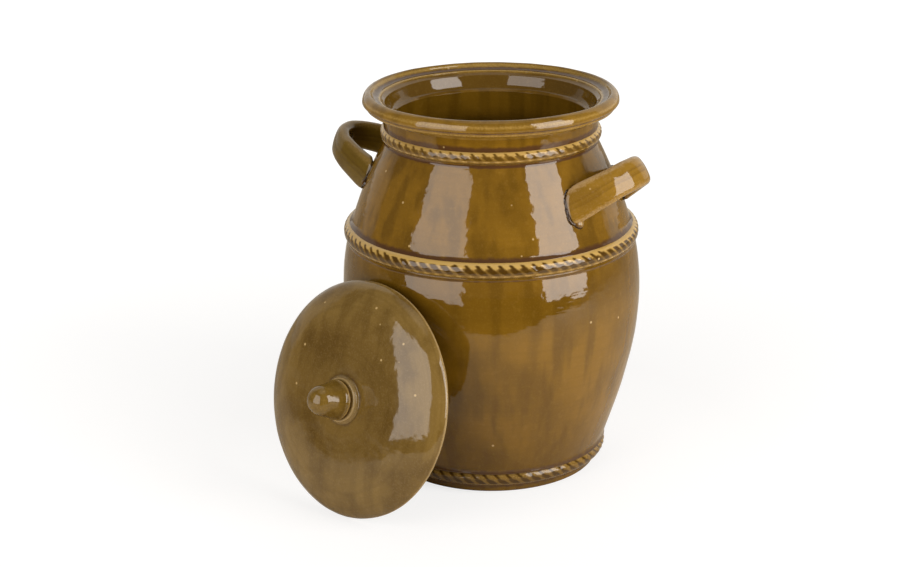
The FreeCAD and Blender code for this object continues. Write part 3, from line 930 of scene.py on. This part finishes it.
collar.data.materials.append(lid_glaze)
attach(collar, "lid")
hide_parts("lid_knob_collar")

# The knob is thrown on the collar: a short undercut neck, a lip and a round tip, made to be lifted
# between two fingers and a thumb. Its glaze is thin, so it is lighter and yellower than the lid.

knob_middle = 6 * mm
lip_radius = 15.4 * mm
knob_undercut = 0.8 * mm
knob_neck = 1.3 * mm
lip_height = 3.4 * mm
tip_radius = 12.0 * mm
knob_height = 28.3 * mm
knob_lip = collar_top + knob_neck
knob_top = collar_top + knob_height
tip_centre = knob_top - tip_radius
lip_side = (lip_radius, knob_lip + lip_height / 3)
lip_end = (lip_radius - lip_height / 6, knob_lip + lip_height)
to_lip = (lip_end[0], lip_end[1] - tip_centre)
leaving = math.atan2(to_lip[1], to_lip[0]) + math.acos(tip_radius / math.hypot(*to_lip))
neck_side = lip_radius - knob_undercut
knob_base = collar_top - 1 * mm
knob_outline = [(0, knob_base), (knob_middle, knob_base)]
knob_outline += straight((knob_middle, knob_base), (neck_side, knob_base), 3)
knob_outline += straight((neck_side, knob_base), (neck_side, knob_lip), 4)
knob_outline += bend((neck_side, knob_lip), lip_side, lip_end, 8)
tip_angles = [leaving + (math.pi / 2 - leaving) * step / 16 for step in range(16)]
tip = arc(0, tip_centre, tip_radius, tip_angles)
knob_outline += straight(lip_end, tip[0], 9)
knob_outline += tip[1:] + [(0, knob_top)]
knob = throw("lid_knob_thrown", knob_outline, 120,
             # painted shade in the undercut under the lip
             [(neck_side, knob_lip - 0.6 * mm, 1.6 * mm, 0.8)],
             # pale where the glaze breaks on the lip, with a painted highlight along it
             [(lip_side[0], lip_side[1] + 0.6 * mm, 1.6 * mm, 0.8)])
wobble(knob, ((13 * mm, 0.5 * mm), (5 * mm, 0.15 * mm)))
lean_on_jar(knob)
# The thinnest coat on the lid: olive gold, yellow where it breaks on the lip, with a painted
# highlight there and painted shade under it.
knob_glaze = amber_glaze("thin_amber_glaze_on_knob", "#705720", "#543d10", "#4a3018", "#a88a4e",
                         cloud_size=12 * mm, runs=0.0, streaks=0.3, speckle=0.2)
knob.data.materials.append(knob_glaze)
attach(knob, "lid")
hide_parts("lid_knob")

# The table is a white board; beyond its front edge the room is dark, and behind it hangs a pale
# paper. The jar stands under two tall soft boxes, one on each side of the camera. The camera sees
# the board and the paper white; what they add to the glaze's gloss is their real, warmer shade.

view_turn = math.radians(26.5)
to_right = Vector((math.cos(view_turn), math.sin(view_turn), 0))
to_camera = Vector((math.sin(view_turn), -math.cos(view_turn), 0))
table_front = 0.50
board_colour = (0.82, 0.76, 0.66, 1)
paper_colour = (0.86, 0.80, 0.71, 1)
room_colour = (0.10, 0.095, 0.09, 1)

bpy.ops.mesh.primitive_plane_add(size=8, location=(0, 0, 0))
floor = bpy.context.object
floor.name = "floor"
paper = bpy.data.materials.new("white_table")
paper.use_nodes = True
tree = paper.node_tree
sheet = tree.nodes["Principled BSDF"]
sheet.inputs["Base Color"].default_value = board_colour
sheet.inputs["Roughness"].default_value = 0.9
sheet.inputs["Specular IOR Level"].default_value = 0.1
dark = add(tree, "ShaderNodeEmission", {"Color": (0.03, 0.027, 0.024, 1), "Strength": 1.0})
place = add(tree, "ShaderNodeTexCoord", {}).outputs["Object"]
forward = add(tree, "ShaderNodeVectorMath", {0: place, 1: tuple(to_camera)}, operation="DOT_PRODUCT")
past_edge = {0: forward.outputs["Value"], 1: table_front}
beyond = add(tree, "ShaderNodeMath", past_edge, operation="GREATER_THAN")
rays = add(tree, "ShaderNodeLightPath", {})
in_gloss = {0: beyond.outputs[0], 1: rays.outputs["Is Glossy Ray"]}
hidden = add(tree, "ShaderNodeMath", in_gloss, operation="MULTIPLY")
lit = add(tree, "ShaderNodeMixShader", {0: hidden.outputs[0], 1: sheet.outputs[0], 2: dark.outputs[0]})
# seen by the camera, the board is white all over but for the jar's own soft shadow
far_off = add(tree, "ShaderNodeVectorMath", {0: place}, operation="LENGTH").outputs["Value"]
fade = add(tree, "ShaderNodeMapRange",
           {"Value": far_off, "From Min": 0.22, "From Max": 0.9, "To Min": 0.76, "To Max": 0.98})
white = add(tree, "ShaderNodeEmission", {"Color": (1, 1, 1, 1), "Strength": fade.outputs[0]})
shadowed = add(tree, "ShaderNodeBsdfDiffuse", {"Color": (0.30, 0.30, 0.30, 1)})
seen = add(tree, "ShaderNodeAddShader", {0: white.outputs[0], 1: shadowed.outputs[0]})
shown = add(tree, "ShaderNodeMixShader",
            {0: rays.outputs["Is Camera Ray"], 1: lit.outputs[0], 2: seen.outputs[0]})
tree.links.new(shown.outputs[0], tree.nodes["Material Output"].inputs["Surface"])
floor.data.materials.append(paper)


def soft_box(name, left, right, low, high, radiance):
    """A soft box between two upright edges, given as places to the right and towards the camera."""
    corner_a = to_right * left[0] + to_camera * left[1]
    corner_b = to_right * right[0] + to_camera * right[1]
    across = corner_b - corner_a
    width = across.length
    middle = (corner_a + corner_b) / 2 + Vector((0, 0, (low + high) / 2))
    data = bpy.data.lights.new(name, "AREA")
    data.shape = "RECTANGLE"
    data.size = width
    data.size_y = high - low
    data.energy = radiance * math.pi * width * (high - low)
    data.color = (1.0, 0.95, 0.9)
    lamp = bpy.data.objects.new(name, data)
    bpy.context.scene.collection.objects.link(lamp)
    inwards = Vector((-across.y, across.x, 0)).normalized()
    if inwards.dot(-middle) < 0:
        inwards = -inwards
    facing = inwards.to_track_quat("-Z", "Y").to_matrix().to_4x4()
    lamp.matrix_world = Matrix.Translation(middle) @ facing


soft_box("left_soft_box", (-0.875, 0.418), (-0.337, 0.923), 0.07, 0.92, 3.2)
soft_box("right_soft_box", (0.589, 0.782), (0.921, 0.301), 0.07, 1.06, 6.0)

world = bpy.data.worlds.new("studio")
bpy.context.scene.world = world
world.use_nodes = True
tree = world.node_tree
tree.nodes.clear()
direction = add(tree, "ShaderNodeTexCoord", {}).outputs["Generated"]


def looking(way, low, high, least=0.0, most=1.0):
    """A share of the world that lies one way: most within the high cosine, least beyond the low."""
    cosine = add(tree, "ShaderNodeVectorMath", {0: direction, 1: way}, operation="DOT_PRODUCT")
    limits = {"Value": cosine.outputs["Value"], "From Min": low, "From Max": high,
              "To Min": least, "To Max": most}
    return add(tree, "ShaderNodeMapRange", limits).outputs[0]


# the paper hangs behind the jar and is dimmer on the left; the ceiling is pale only right above
behind = looking(tuple(-to_camera), 0.33, 0.42)
leftmost = looking(tuple(to_right), -0.85, -0.35, least=0.4)
ceiling_glow = looking((0, 0, 1), 0.92, 0.98, most=0.85)
paper_glow = add(tree, "ShaderNodeMath", {0: behind, 1: leftmost}, operation="MULTIPLY").outputs[0]
glows = add(tree, "ShaderNodeMath", {0: paper_glow, 1: ceiling_glow}, operation="MAXIMUM").outputs[0]
room = add(tree, "ShaderNodeMix", {0: glows, 6: room_colour, 7: paper_colour}, data_type="RGBA")
rays = add(tree, "ShaderNodeLightPath", {})
seen = add(tree, "ShaderNodeMix",
           {0: rays.outputs["Is Camera Ray"], 6: room.outputs[2], 7: (1, 1, 1, 1)}, data_type="RGBA")
glow = add(tree, "ShaderNodeBackground", {"Color": seen.outputs[2], "Strength": 1.0})
add(tree, "ShaderNodeOutputWorld", {"Surface": glow.outputs[0]})

# The camera looks down on the jar from its front right.

camera_data = bpy.data.cameras.new("camera")
camera = bpy.data.objects.new("camera", camera_data)
bpy.context.scene.collection.objects.link(camera)
camera_data.lens = 84
camera_data.sensor_width = 36
pitch, yaw, roll = 0.3334, -0.0208, -0.0103
camera_distance, camera_height = 1.5722, 0.6870
forward = Vector((math.sin(yaw) * math.cos(pitch), math.cos(yaw) * math.cos(pitch), -math.sin(pitch)))
right = Vector((math.cos(yaw), -math.sin(yaw), 0))
up = right.cross(forward)
right, up = math.cos(roll) * right + math.sin(roll) * up, -math.sin(roll) * right + math.cos(roll) * up
turned = Matrix.Rotation(view_turn, 3, "Z")
axes = turned @ Matrix((right, up, -forward)).transposed()
stand = Matrix.Translation(turned @ Vector((0, -camera_distance, camera_height)))
camera.matrix_world = stand @ axes.to_4x4()
bpy.context.scene.camera = camera
bpy.context.scene.view_settings.view_transform = "Standard"
